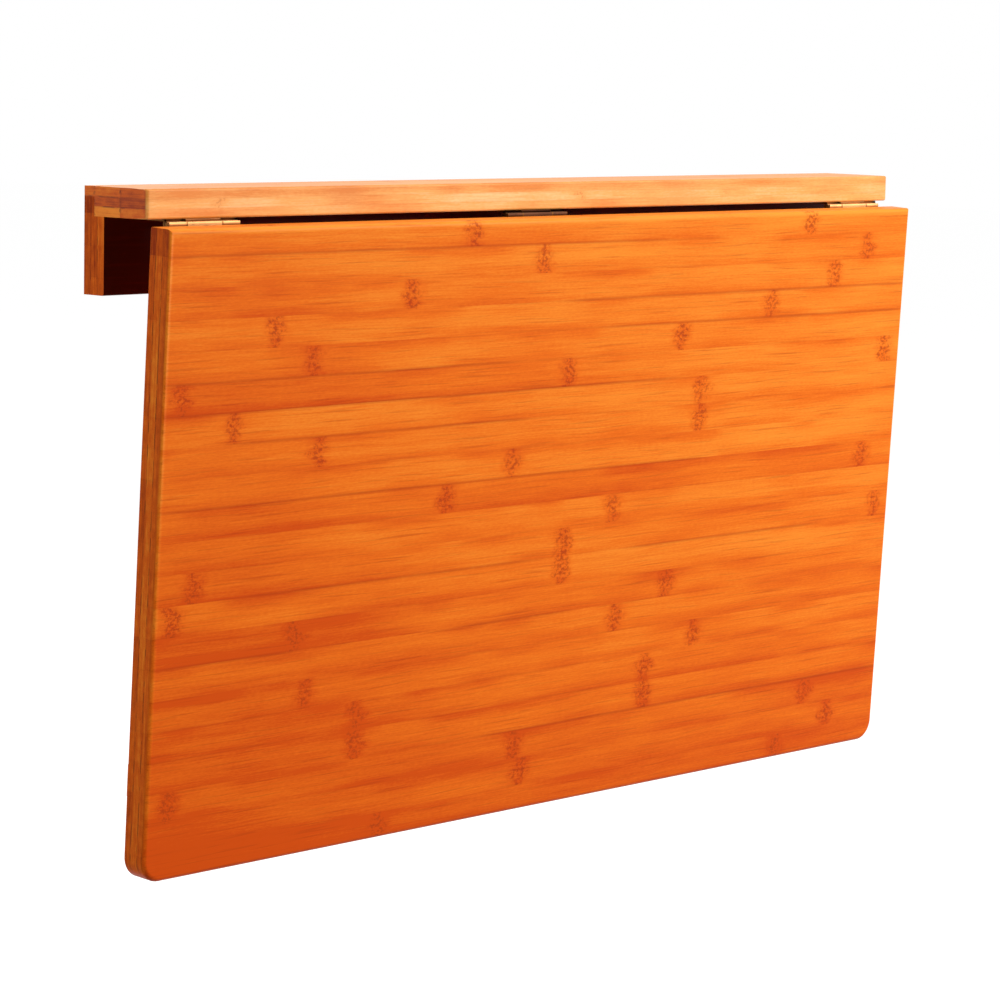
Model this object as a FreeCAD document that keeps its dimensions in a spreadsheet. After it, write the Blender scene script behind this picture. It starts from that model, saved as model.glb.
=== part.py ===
import FreeCAD, Part
import math
import os
import re
import Sketcher
from FreeCAD import Placement, Rotation, Vector

# Wall-mounted drop-leaf dining table, millimetres.
# X runs along the wall, Y = 0 is the wall and the room lies at negative Y, Z is up.
# The origin is on the wall, at mid-length, on the line of wall screws in the rail.
# The leaf is drawn hanging, as it is when the table is folded away.

DRIVING = {
    # boards
    "table_length": 800,
    "board_thickness": 20,
    "shelf_depth": 62,
    "rail_height": 72.5,
    "tongue_thickness": 10,
    "tongue_cover": 7,
    "leaf_height": 440,
    "leaf_corner": 16,
    "front_easing": 3.5,
    "board_easing": 1.5,
    "shelf_end_easing": 3,
    "bore_clearance": 0.05,
    # leaf hinges
    "hinge_gap": 2,
    "hang_angle": 2.9,
    "knuckle_radius": 3.15,
    "hinge_pin_radius": 1.7,
    "hinge_length": 63.5,
    "hinge_plate_width": 20,
    "hinge_plate_thickness": 1.4,
    "knuckle_gap": 0.3,
    "hinge_inset": 16.5,
    "middle_hinge_offset": -25,
    "hinge_screw_inset": 9,
    "hinge_screw_back": 12,
    "hinge_screw_stagger": 3,
    "hinge_screw_radius": 1.6,
    "hinge_screw_head": 1.3,
    "hinge_screw_length": 14,
    # wall frame
    "wall_screw_drop": 46,
    "wall_screw_inset": 70,
    "wall_hole_radius": 2.5,
    "wall_countersink": 2.5,
    "upright_inset": 220,
    "upright_width": 40,
    "upright_thickness": 16,
    "seat_inset": 110,
    "seat_depth": 22.3,
    "seat_height": 42,
    "seat_slope": 11,
    "seat_rise": 18,
    "seat_screw_inset": 55,
    "seat_screw_floor": 10,
    "dowel_radius": 4,
    "dowel_depth": 15,
    "dowel_spacing": 20,
    "shelf_screw_inset": 50,
    "shelf_screw_radius": 2,
    "shelf_screw_head": 2,
    "shelf_screw_length": 40,
    # battens under the leaf
    "batten_width": 22,
    "batten_start": 50,
    "batten_foot_gap": 18,
    "batten_screw_radius": 2,
    "batten_screw_head": 2,
    "batten_screw_length": 34,
    "batten_screw_inset": 30,
    # brace
    "brace_pivot_drop": 160,
    "brace_lean": 58,
    "stile_inset": 150,
    "stile_width": 24,
    "stile_thickness": 20,
    "rest_clearance": 0.3,
    "side_clearance": 0.5,
    "foot_height": 22,
    "foot_inset": 18.5,
    "crossbar_place": 75,
    "crossbar_width": 28,
    "brace_dowel_radius": 3,
    "brace_dowel_depth": 12,
    "brace_dowel_spacing": 12,
    "pad_thickness": 2,
    "pad_length": 60,
    "pad_width": 16,
    "pad_inset": 220,
    # pivot bolts
    "bolt_radius": 3,
    "bolt_clearance": 0.1,
    "bolt_head_radius": 6.5,
    "bolt_head_height": 3.5,
    "washer_radius": 7,
    "washer_thickness": 1.2,
    "nut_radius": 5.8,
    "nut_height": 5,
    "bolt_tail": 2,
    "drive_radius": 2,
    "drive_depth": 2,
    "cut_overrun": 1,
}

# Formulas that several pieces share, written with the names above.
SHARED = {
    "axis_y": "-(shelf_depth + hinge_gap / 2)",
    "axis_z": "wall_screw_drop - board_thickness - knuckle_radius",
    "rail_low": "wall_screw_drop - rail_height",
    "underside": "wall_screw_drop - board_thickness",
    "tongue_top": "wall_screw_drop - tongue_cover",
    "tongue_middle": "(underside + tongue_top) / 2",
    "leaf_back": "-knuckle_radius",
    "leaf_front": "-knuckle_radius - board_thickness",
    "leaf_top": "-hinge_gap / 2",
    "leaf_low": "-hinge_gap / 2 - leaf_height",
    "pivot_lift": "rest_clearance + stile_thickness / 2",
    "pivot_y": "-knuckle_radius + pivot_lift",
    "brace_front": "-knuckle_radius + rest_clearance",
    "brace_back": "-knuckle_radius + rest_clearance + stile_thickness",
    "seat_gap": "pad_thickness + rest_clearance",
    "brace_reach": "(brace_pivot_drop - axis_y - seat_depth - seat_gap * cos(seat_slope * 1deg))"
                   " / sin(brace_lean * 1deg)",
    "bevel": "((90 - brace_lean - seat_slope) * 1deg)",
    "bevel_rise": "stile_thickness / 2 * tan(bevel)",
    "foot_end": "brace_pivot_drop + brace_reach",
    "foot_top": "brace_pivot_drop + brace_reach - bevel_rise - foot_height",
    "crossbar_top": "brace_pivot_drop + crossbar_place",
    "crossbar_middle": "crossbar_top + crossbar_width / 2",
    "stile_place": "table_length / 2 - stile_inset",
    "stile_middle": "stile_place + stile_width / 2",
    "batten_place": "stile_place + stile_width + side_clearance",
    "batten_middle": "batten_place + batten_width / 2",
    "batten_back": "-knuckle_radius + 2 * pivot_lift",
    "batten_length": "foot_top - batten_start - batten_foot_gap",
    "pad_place": "table_length / 2 - pad_inset",
    "upright_place": "table_length / 2 - upright_inset",
    "seat_length": "table_length - 2 * seat_inset",
    "seat_screw_place": "seat_length / 2 - seat_screw_inset",
    "seat_y": "-seat_depth",
    "seat_z": "underside - pivot_lift - brace_reach * cos(brace_lean * 1deg)"
              " - seat_gap * sin(seat_slope * 1deg)",
    "seat_top": "seat_z + seat_rise",
    "seat_low": "seat_z + seat_rise - seat_height",
    "seat_lean": "tan(seat_slope * 1deg)",
    "washer_place": "stile_place - rest_clearance - washer_thickness",
    "nut_place": "washer_place - nut_height",
}

doc = FreeCAD.newDocument("wall_table")
sheet = doc.addObject("Spreadsheet::Sheet", "sizes")
for row, (alias, number) in enumerate(DRIVING.items(), start=1):
    sheet.set("A%d" % row, alias)
    sheet.set("B%d" % row, str(number))
    sheet.setAlias("B%d" % row, alias)
doc.recompute()


def spell(formula):
    """The formula with shared formulas filled in and each size named in full."""
    def word(found):
        name = found.group()
        if name in SHARED:
            return "(" + spell(SHARED[name]) + ")"
        return "sizes." + name if name in DRIVING else name
    return re.sub(r"[a-z][a-z_]+", word, str(formula))


def size(formula):
    """The number that a formula gives."""
    answer = sheet.evalExpression(spell(formula))
    return float(getattr(answer, "Value", answer))


def bind(item, prop, formula):
    item.setExpression(prop, spell(formula))


def near(one, other):
    return abs(one - other) < size("bore_clearance") / 10


# Shared ways of drawing

def new_body(label):
    body = doc.addObject("PartDesign::Body", label)
    body.Label = label
    return body


def place_at_axis(item, turned):
    """Put a piece drawn about the hinge axis in its place; turned pieces hang with the leaf."""
    angle = size("hang_angle") if turned else 0
    item.Placement = Placement(Vector(), Rotation(Vector(1, 0, 0), angle))
    bind(item, "Placement.Base.y", "axis_y")
    bind(item, "Placement.Base.z", "axis_z")
    if turned:
        bind(item, "Placement.Rotation.Angle", "hang_angle")


def new_sketch(body, name, role, lift):
    """A sketch on the body's own plane, lifted along the plane's normal."""
    sketch = body.newObject("Sketcher::SketchObject", name)
    plane = [item for item in body.Origin.OriginFeatures if item.Role == role][0]
    sketch.AttachmentSupport = [(plane, "")]
    sketch.MapMode = "FlatFace"
    bind(sketch, "AttachmentOffset.Base.z", lift)
    return sketch


def fix_point(sketch, geometry, place, point):
    """Tie one point of a sketch to the formulas for its two coordinates."""
    for kind, formula in zip(("DistanceX", "DistanceY"), point):
        rule = Sketcher.Constraint(kind, -1, 1, geometry, place, size(formula))
        index = sketch.addConstraint(rule)
        bind(sketch, "Constraints[%d]" % index, formula)


def outline(body, name, role, points, lift="0"):
    """A closed outline with straight sides through the given points."""
    sketch = new_sketch(body, name, role, lift)
    spots = [Vector(size(across), size(up), 0) for across, up in points]
    for start, end in zip(spots, spots[1:] + spots[:1]):
        sketch.addGeometry(Part.LineSegment(start, end))
    for index in range(len(spots)):
        following = (index + 1) % len(spots)
        sketch.addConstraint(Sketcher.Constraint("Coincident", index, 2, following, 1))
    for index, point in enumerate(points):
        fix_point(sketch, index, 1, point)
    return sketch


def rectangle(body, name, role, low, high, lift="0"):
    """A rectangle between two opposite corners."""
    corners = [low, (high[0], low[1]), high, (low[0], high[1])]
    return outline(body, name, role, corners, lift)


def circles(body, name, role, centres, radius, lift="0"):
    """Circles of one radius about several centres."""
    sketch = new_sketch(body, name, role, lift)
    for index, (across, up) in enumerate(centres):
        middle = Vector(size(across), size(up), 0)
        sketch.addGeometry(Part.Circle(middle, Vector(0, 0, 1), size(radius)))
        fix_point(sketch, index, 3, (across, up))
        ring = sketch.addConstraint(Sketcher.Constraint("Radius", index, size(radius)))
        bind(sketch, "Constraints[%d]" % ring, radius)
    return sketch


def pad(body, sketch, length, middle=False):
    feature = body.newObject("PartDesign::Pad", sketch.Name + "_pad")
    feature.Profile = sketch
    feature.SideType = "Symmetric" if middle else "One side"
    bind(feature, "Length", length)
    doc.recompute()
    return feature


def pocket(body, sketch, length, onward=False, middle=False):
    """Cut a sketch into the body, against its normal or onward, and see that it cuts."""
    before = body.Shape.Volume
    feature = body.newObject("PartDesign::Pocket", sketch.Name + "_pocket")
    feature.Profile = sketch
    feature.SideType = "Symmetric" if middle else "One side"
    feature.Reversed = onward
    bind(feature, "Length", length)
    doc.recompute()
    if not body.Shape.Volume < before:
        raise RuntimeError(feature.Name + " cuts nothing")
    return feature


def find_edges(body, wanted):
    """Names of the tip's edges whose ends and middle all pass a test."""
    names = []
    for index, edge in enumerate(body.Tip.Shape.Edges, start=1):
        middle = edge.valueAt((edge.FirstParameter + edge.LastParameter) / 2)
        spots = [vertex.Point for vertex in edge.Vertexes] + [middle]
        if all(wanted(spot) for spot in spots):
            names.append("Edge%d" % index)
    if not names:
        raise RuntimeError(body.Label + " has no such edge")
    return names


def ease(body, name, radius, wanted):
    """Round the edges that pass a test."""
    base, names = body.Tip, find_edges(body, wanted)
    feature = body.newObject("PartDesign::Fillet", name)
    feature.Base = (base, names)
    bind(feature, "Radius", radius)
    doc.recompute()
    return feature


def countersink(body, name, depth, radius, wanted):
    """Chamfer the rims of the bores of one radius that pass a test."""
    base, names = body.Tip, []
    for index, edge in enumerate(base.Shape.Edges, start=1):
        ring = getattr(edge.Curve, "Radius", None)
        if ring and near(ring, size(radius)) and wanted(edge.CenterOfMass):
            names.append("Edge%d" % index)
    feature = body.newObject("PartDesign::Chamfer", name)
    feature.Base = (base, names)
    bind(feature, "Size", depth)
    doc.recompute()
    return feature


def screw(radius, head, length):
    """A countersunk wood screw, head up at the origin and pointing down, with a cross slot."""
    radius, head, length = size(radius), size(head), size(length)
    cone = Part.makeCone(radius, radius + head, head, Vector(0, 0, -head))
    shank = Part.makeCylinder(radius, length - 2 * radius - head, Vector(0, 0, 2 * radius - length))
    tip = Part.makeCone(0, radius, 2 * radius, Vector(0, 0, -length))
    body = cone.fuse([shank, tip]).removeSplitter()
    wide, deep = radius / 3, head / 2
    for turn in (0, 90):
        slot = Part.makeBox(2 * radius, wide, head, Vector(-radius, -wide / 2, -deep))
        slot.rotate(Vector(), Vector(0, 0, 1), turn)
        body = body.cut(slot)
    return body


def group(label, solids):
    """One node that holds separate solids of the same kind."""
    item = doc.addObject("Part::Feature", label)
    item.Label = label
    item.Shape = Part.makeCompound(solids) if len(solids) > 1 else solids[0]
    return item


def aimed(solid, spot, axis, turn):
    """A copy of a solid turned about an axis and moved to a spot."""
    copy = solid.copy()
    copy.Placement = Placement(Vector(*spot), Rotation(Vector(*axis), turn))
    return copy


# Places that pieces share, as formulas

def shelf_screw_places():
    """Five screws through the rail's tongue into the shelf's rear edge."""
    step = "(table_length - 2 * shelf_screw_inset) / 4"
    first = "-table_length / 2 + shelf_screw_inset"
    return [("%s + %d * %s" % (first, index, step), "tongue_middle") for index in range(5)]


def wall_screw_places():
    """Four wall screws along the rail."""
    step = "(table_length - 2 * wall_screw_inset) / 3"
    first = "-table_length / 2 + wall_screw_inset"
    return [("%s + %d * %s" % (first, index, step), "0") for index in range(4)]


def upright_dowel_places(side):
    """Two dowels across the end of one upright."""
    centre = "%d * upright_place" % side
    return [("%s + %d * dowel_spacing / 2" % (centre, shift), "-upright_thickness / 2")
            for shift in (-1, 1)]


def stile_dowel_places(side):
    """Two dowels across the lower end of one stile."""
    centre = "%d * (stile_middle)" % side
    return [("%s + %d * brace_dowel_spacing / 2" % (centre, shift), "pivot_y")
            for shift in (-1, 1)]


def crossbar_dowel_places():
    return [("pivot_y", "-(crossbar_middle) + %d * brace_dowel_spacing / 2" % shift)
            for shift in (-1, 1)]


HINGES = {
    "left": "-(table_length / 2 - hinge_inset - hinge_length / 2)",
    "middle": "middle_hinge_offset",
    "right": "table_length / 2 - hinge_inset - hinge_length / 2",
}


def hinge_screw_places(centre):
    """Three staggered screws in a hinge plate: along the hinge, and away from its pin."""
    spread = "(hinge_length / 2 - hinge_screw_inset)"
    return [("%s + %d * %s" % (centre, side, spread),
             "hinge_screw_back + %d * hinge_screw_stagger" % (1 if side else -1))
            for side in (-1, 0, 1)]


def batten_screw_drops():
    """Three screws along a batten, measured down from the hinge axis."""
    first = "batten_start + batten_screw_inset"
    step = "(batten_length - 2 * batten_screw_inset) / 2"
    return ["%s + %d * %s" % (first, index, step) for index in range(3)]


def batten_screw_places():
    return [("%d * (batten_middle)" % side, drop)
            for side in (-1, 1) for drop in batten_screw_drops()]


# The wall part

def make_shelf():
    body = new_body("shelf_board")
    section = [("-shelf_depth", "underside"), ("-tongue_thickness", "underside"),
               ("-tongue_thickness", "tongue_top"), ("0", "tongue_top"),
               ("0", "wall_screw_drop"), ("-shelf_depth", "wall_screw_drop")]
    sketch = outline(body, "shelf_section", "YZ_Plane", section)
    pad(body, sketch, "table_length", middle=True)
    front, end = size("-shelf_depth"), size("table_length / 2")
    ease(body, "shelf_end_rounding", "shelf_end_easing",
         lambda spot: near(spot.y, front) and near(abs(spot.x), end))
    ease(body, "shelf_front_rounding", "board_easing", lambda spot: near(spot.y, front))
    bores = circles(body, "shelf_screw_bores", "XZ_Plane", shelf_screw_places(),
                    "shelf_screw_radius + bore_clearance", "tongue_thickness - cut_overrun")
    pocket(body, bores, "shelf_screw_length - tongue_thickness + 2 * cut_overrun", onward=True)
    for name, centre in HINGES.items():
        spots = [(along, "axis_y + " + back) for along, back in hinge_screw_places(centre)]
        pilots = circles(body, "shelf_%s_pilots" % name, "XY_Plane", spots,
                         "hinge_screw_radius + bore_clearance", "underside - cut_overrun")
        pocket(body, pilots, "hinge_screw_length + cut_overrun", onward=True)


def make_rail():
    body = new_body("wall_rail")
    section = [("-board_thickness", "rail_low"), ("0", "rail_low"), ("0", "tongue_top"),
               ("-tongue_thickness", "tongue_top"), ("-tongue_thickness", "underside"),
               ("-board_thickness", "underside")]
    sketch = outline(body, "rail_section", "YZ_Plane", section)
    pad(body, sketch, "table_length", middle=True)
    low, front = size("rail_low"), size("-board_thickness")
    ease(body, "rail_rounding", "board_easing",
         lambda spot: near(spot.z, low) and near(spot.y, front))
    bores = circles(body, "tongue_bores", "XZ_Plane", shelf_screw_places(),
                    "shelf_screw_radius + bore_clearance", "-cut_overrun")
    pocket(body, bores, "tongue_thickness + 2 * cut_overrun", onward=True)
    countersink(body, "tongue_countersinks", "shelf_screw_head",
                "shelf_screw_radius + bore_clearance", lambda spot: near(spot.y, 0))
    holes = circles(body, "wall_screw_holes", "XZ_Plane", wall_screw_places(),
                    "wall_hole_radius", "-cut_overrun")
    pocket(body, holes, "board_thickness + 2 * cut_overrun", onward=True)
    countersink(body, "wall_screw_countersinks", "wall_countersink", "wall_hole_radius",
                lambda spot: near(spot.y, front))
    dowels = upright_dowel_places(-1) + upright_dowel_places(1)
    bores = circles(body, "rail_dowel_bores", "XY_Plane", dowels,
                    "dowel_radius + bore_clearance", "rail_low - cut_overrun")
    pocket(body, bores, "dowel_depth + cut_overrun", onward=True)


def make_upright(label, side):
    body = new_body(label)
    low = ("%d * upright_place - upright_width / 2" % side, "seat_top")
    high = ("%d * upright_place + upright_width / 2" % side, "rail_low")
    sketch = rectangle(body, label + "_face", "XZ_Plane", low, high)
    pad(body, sketch, "upright_thickness")
    front, half = size("-upright_thickness"), size("upright_width / 2")
    ease(body, label + "_rounding", "board_easing",
         lambda spot: near(spot.y, front)
         and near(abs(spot.x - side * size("upright_place")), half))
    ends = {"top": ("rail_low + cut_overrun", False), "low": ("seat_top - cut_overrun", True)}
    for name, (level, onward) in ends.items():
        bores = circles(body, "%s_%s_bores" % (label, name), "XY_Plane",
                        upright_dowel_places(side), "dowel_radius + bore_clearance", level)
        pocket(body, bores, "dowel_depth + cut_overrun", onward)


def make_seat_rail():
    """The lower rail, whose sloping face takes the foot of the brace."""
    body = new_body("seat_rail")
    section = [("0", "seat_low"), ("0", "seat_top"),
               ("seat_y + seat_rise * seat_lean", "seat_top"),
               ("seat_y - (seat_height - seat_rise) * seat_lean", "seat_low")]
    sketch = outline(body, "seat_section", "YZ_Plane", section)
    pad(body, sketch, "seat_length", middle=True)
    holes = [("%d * seat_screw_place" % side, "seat_z - seat_rise / 2") for side in (-1, 1)]
    screws = circles(body, "seat_screw_holes", "XZ_Plane", holes, "wall_hole_radius",
                     "-cut_overrun")
    pocket(body, screws, "seat_height", onward=True)
    heads = circles(body, "seat_screw_heads", "XZ_Plane", holes,
                    "wall_hole_radius + wall_countersink", "seat_screw_floor")
    pocket(body, heads, "seat_height", onward=True)
    dowels = upright_dowel_places(-1) + upright_dowel_places(1)
    bores = circles(body, "seat_dowel_bores", "XY_Plane", dowels,
                    "dowel_radius + bore_clearance", "seat_top + cut_overrun")
    pocket(body, bores, "dowel_depth + cut_overrun")


def make_frame_dowels():
    """Dowels across each joint between an upright and a rail."""
    depth = size("dowel_depth - bore_clearance")
    dowel = Part.makeCylinder(size("dowel_radius"), 2 * depth, Vector(0, 0, -depth))
    spots = [(size(across), size(back), size(level))
             for side in (-1, 1) for across, back in upright_dowel_places(side)
             for level in ("rail_low", "seat_top")]
    group("frame_dowels", [aimed(dowel, spot, (0, 0, 1), 0) for spot in spots])


def make_shelf_screws():
    one = screw("shelf_screw_radius", "shelf_screw_head", "shelf_screw_length")
    group("shelf_screws", [aimed(one, (size(across), 0, size(up)), (1, 0, 0), -90)
                           for across, up in shelf_screw_places()])


# The three butt hinges

def make_shelf_plate(name, centre):
    """The plate under the shelf, with the two outer knuckles."""
    label = name + "_hinge_shelf_plate"
    body = new_body(label)
    place_at_axis(body, turned=False)
    bind(body, "Placement.Base.x", centre)
    half, quarter = "hinge_length / 2", "hinge_length / 4"
    face = rectangle(body, label + "_face", "XY_Plane", ("-" + half, "0"),
                     (half, "hinge_plate_width"), "knuckle_radius - hinge_plate_thickness")
    pad(body, face, "hinge_plate_thickness")
    barrel = circles(body, label + "_barrel", "YZ_Plane", [("0", "0")], "knuckle_radius")
    pad(body, barrel, "hinge_length", middle=True)
    notch = rectangle(body, label + "_notch", "XY_Plane",
                      ("-" + quarter, "-knuckle_radius - cut_overrun"),
                      (quarter, "knuckle_radius + knuckle_gap"))
    pocket(body, notch, "3 * knuckle_radius", middle=True)
    finish_plate(body, label, "XY_Plane", "knuckle_radius - hinge_plate_thickness", 1)


def make_leaf_plate(name, centre):
    """The plate on the leaf's back, with the middle knuckle."""
    label = name + "_hinge_leaf_plate"
    body = new_body(label)
    place_at_axis(body, turned=True)
    bind(body, "Placement.Base.x", centre)
    half, quarter = "hinge_length / 2", "hinge_length / 4 - knuckle_gap"
    face = rectangle(body, label + "_face", "XZ_Plane", ("-" + half, "-hinge_plate_width"),
                     (half, "0"), "knuckle_radius - hinge_plate_thickness")
    pad(body, face, "hinge_plate_thickness")
    barrel = circles(body, label + "_barrel", "YZ_Plane", [("0", "0")], "knuckle_radius")
    pad(body, barrel, "2 * (%s)" % quarter, middle=True)
    for side in (-1, 1):
        low, high = sorted(("%d * (%s)" % (side, quarter),
                            "%d * (hinge_length / 2 + cut_overrun)" % side), key=size)
        notch = rectangle(body, "%s_notch_%d" % (label, side + 1), "XZ_Plane",
                          (low, "-knuckle_radius - knuckle_gap"), (high, "cut_overrun"))
        pocket(body, notch, "3 * knuckle_radius", middle=True)
    finish_plate(body, label, "XZ_Plane", "knuckle_radius - hinge_plate_thickness", -1)


def finish_plate(body, label, role, lift, sign):
    """Bore a hinge plate for its pin and its three countersunk screws."""
    bore = circles(body, label + "_pin_bore", "YZ_Plane", [("0", "0")],
                   "hinge_pin_radius + bore_clearance")
    pocket(body, bore, "2 * hinge_length", middle=True)
    spots = [(along, "%d * (%s)" % (sign, back)) for along, back in hinge_screw_places("0")]
    holes = circles(body, label + "_screw_holes", role, spots,
                    "hinge_screw_radius + bore_clearance", lift + " - cut_overrun")
    pocket(body, holes, "hinge_plate_thickness + 2 * cut_overrun", onward=True)
    level = size(lift)
    countersink(body, label + "_countersinks", "hinge_screw_head",
                "hinge_screw_radius + bore_clearance",
                lambda spot: near(spot.z if sign > 0 else -spot.y, level))


def make_hinge_pin(name, centre):
    item = doc.addObject("Part::Cylinder", name + "_hinge_pin")
    item.Label = name + "_hinge_pin"
    bind(item, "Radius", "hinge_pin_radius")
    bind(item, "Height", "hinge_length")
    item.Placement = Placement(Vector(), Rotation(Vector(0, 1, 0), 90))
    bind(item, "Placement.Base.x", centre + " - hinge_length / 2")
    bind(item, "Placement.Base.y", "axis_y")
    bind(item, "Placement.Base.z", "axis_z")


def hanging(solids):
    """Turn and move solids drawn about the hinge axis to where the leaf hangs."""
    rest = Placement(Vector(0, size("axis_y"), size("axis_z")),
                     Rotation(Vector(1, 0, 0), size("hang_angle")))
    return [solid.transformed(rest.toMatrix()) for solid in solids]


def make_hinge_screws():
    """Screws up into the shelf and through the leaf plates into the leaf."""
    one = screw("hinge_screw_radius", "hinge_screw_head", "hinge_screw_length")
    inner = size("knuckle_radius - hinge_plate_thickness")
    spots = [(size(along), size(back)) for centre in HINGES.values()
             for along, back in hinge_screw_places(centre)]
    under, behind = [], []
    for along, back in spots:
        place = (along, size("axis_y") + back, size("axis_z") + inner)
        under.append(aimed(one, place, (1, 0, 0), 180))
        behind.append(aimed(one, (along, -inner, -back), (1, 0, 0), -90))
    group("shelf_hinge_screws", under)
    group("leaf_hinge_screws", hanging(behind))


# The leaf and its battens

def make_leaf():
    body = new_body("table_leaf")
    place_at_axis(body, turned=True)
    sketch = rectangle(body, "leaf_section", "YZ_Plane", ("leaf_front", "leaf_low"),
                       ("leaf_back", "leaf_top"))
    pad(body, sketch, "table_length", middle=True)
    end, low = size("table_length / 2"), size("leaf_low")
    ease(body, "leaf_corner_rounding", "leaf_corner",
         lambda spot: near(abs(spot.x), end) and near(spot.z, low))
    front, back = size("leaf_front"), size("leaf_back")
    ease(body, "leaf_front_rounding", "front_easing", lambda spot: near(spot.y, front))
    ease(body, "leaf_back_rounding", "board_easing", lambda spot: near(spot.y, back))
    for name, centre in HINGES.items():
        spots = [(along, "-(%s)" % drop) for along, drop in hinge_screw_places(centre)]
        pilots = circles(body, "leaf_%s_pilots" % name, "XZ_Plane", spots,
                         "hinge_screw_radius + bore_clearance", "knuckle_radius - cut_overrun")
        pocket(body, pilots, "hinge_screw_length + cut_overrun", onward=True)
    spots = [(across, "-(%s)" % drop) for across, drop in batten_screw_places()]
    pilots = circles(body, "leaf_batten_pilots", "XZ_Plane", spots,
                     "batten_screw_radius + bore_clearance", "knuckle_radius - cut_overrun")
    pocket(body, pilots, "batten_screw_length - 2 * pivot_lift + 2 * cut_overrun", onward=True)


def make_batten(label, side):
    """A batten on the leaf's back that stiffens it and carries the brace's pivot bolt."""
    body = new_body(label)
    place_at_axis(body, turned=True)
    low, high = sorted(("%d * (batten_place)" % side,
                        "%d * (batten_place + batten_width)" % side), key=size)
    sketch = rectangle(body, label + "_face", "XZ_Plane",
                       (low, "-batten_start - batten_length"), (high, "-batten_start"),
                       "-(batten_back)")
    pad(body, sketch, "2 * (pivot_lift)")
    back = size("batten_back")
    ease(body, label + "_rounding", "board_easing", lambda spot: near(spot.y, back))
    bore = circles(body, label + "_bolt_bore", "YZ_Plane",
                   [("pivot_y", "-brace_pivot_drop")], "bolt_radius + bore_clearance")
    pocket(body, bore, "4 * (batten_place)", middle=True)
    spots = [("%d * (batten_middle)" % side, "-(%s)" % drop) for drop in batten_screw_drops()]
    holes = circles(body, label + "_screw_holes", "XZ_Plane", spots,
                    "batten_screw_radius + bore_clearance", "-(batten_back) - cut_overrun")
    pocket(body, holes, "2 * (pivot_lift) + 2 * cut_overrun", onward=True)
    countersink(body, label + "_countersinks", "batten_screw_head",
                "batten_screw_radius + bore_clearance", lambda spot: near(spot.y, back))


def make_batten_screws():
    one = screw("batten_screw_radius", "batten_screw_head", "batten_screw_length")
    back = size("batten_back")
    solids = [aimed(one, (size(across), back, -size(drop)), (1, 0, 0), -90)
              for across, drop in batten_screw_places()]
    group("batten_screws", hanging(solids))


# The brace and its pivot bolts

def make_stile(label, side):
    """An arm of the brace, rounded about its pivot."""
    body = new_body(label)
    place_at_axis(body, turned=True)
    lift = "stile_place" if side > 0 else "-stile_place - stile_width"
    sketch = rectangle(body, label + "_section", "YZ_Plane",
                       ("brace_front", "-(foot_top)"), ("brace_back", "-brace_pivot_drop"), lift)
    pad(body, sketch, "stile_width")
    pivot = [("pivot_y", "-brace_pivot_drop")]
    round_end = circles(body, label + "_round_end", "YZ_Plane", pivot,
                        "stile_thickness / 2", lift)
    pad(body, round_end, "stile_width")
    bore = circles(body, label + "_bolt_bore", "YZ_Plane", pivot,
                   "bolt_radius + bolt_clearance", lift + " - cut_overrun")
    pocket(body, bore, "stile_width + 2 * cut_overrun", onward=True)
    bores = circles(body, label + "_foot_bores", "XY_Plane", stile_dowel_places(side),
                    "brace_dowel_radius + bore_clearance", "-(foot_top) - cut_overrun")
    pocket(body, bores, "brace_dowel_depth + cut_overrun", onward=True)
    inner = "%d * (stile_place - cut_overrun)" % side
    bores = circles(body, label + "_crossbar_bores", "YZ_Plane", crossbar_dowel_places(),
                    "brace_dowel_radius + bore_clearance", inner)
    pocket(body, bores, "brace_dowel_depth + cut_overrun", onward=side > 0)


def make_foot_bar():
    """The bar at the brace's foot, planed to lie on the seat rail's sloping face."""
    body = new_body("foot_bar")
    place_at_axis(body, turned=True)
    section = [("brace_front", "-(foot_end + bevel_rise)"),
               ("brace_back", "-(foot_end - bevel_rise)"), ("brace_back", "-(foot_top)"),
               ("brace_front", "-(foot_top)")]
    sketch = outline(body, "foot_section", "YZ_Plane", section)
    pad(body, sketch, "table_length - 2 * foot_inset", middle=True)
    dowels = stile_dowel_places(-1) + stile_dowel_places(1)
    bores = circles(body, "foot_dowel_bores", "XY_Plane", dowels,
                    "brace_dowel_radius + bore_clearance", "-(foot_top) + cut_overrun")
    pocket(body, bores, "brace_dowel_depth + cut_overrun")


def make_crossbar():
    body = new_body("brace_crossbar")
    place_at_axis(body, turned=True)
    sketch = rectangle(body, "crossbar_section", "YZ_Plane",
                       ("brace_front", "-(crossbar_top + crossbar_width)"),
                       ("brace_back", "-(crossbar_top)"))
    pad(body, sketch, "2 * stile_place", middle=True)
    back = size("brace_back")
    ease(body, "crossbar_rounding", "board_easing",
         lambda spot: near(spot.y, back) and abs(spot.x) < size("stile_place + cut_overrun"))
    for side in (-1, 1):
        bores = circles(body, "crossbar_bores_%d" % (side + 1), "YZ_Plane",
                        crossbar_dowel_places(), "brace_dowel_radius + bore_clearance",
                        "%d * (stile_place + cut_overrun)" % side)
        pocket(body, bores, "brace_dowel_depth + cut_overrun", onward=side < 0)


def make_brace_dowels():
    depth = size("brace_dowel_depth - bore_clearance")
    dowel = Part.makeCylinder(size("brace_dowel_radius"), 2 * depth, Vector(0, 0, -depth))
    solids = []
    for side in (-1, 1):
        for across, back in stile_dowel_places(side):
            spot = (size(across), size(back), -size("foot_top"))
            solids.append(aimed(dowel, spot, (0, 0, 1), 0))
        for back, up in crossbar_dowel_places():
            spot = (side * size("stile_place"), size(back), size(up))
            solids.append(aimed(dowel, spot, (0, 1, 0), 90))
    group("brace_dowels", hanging(solids))


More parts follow.
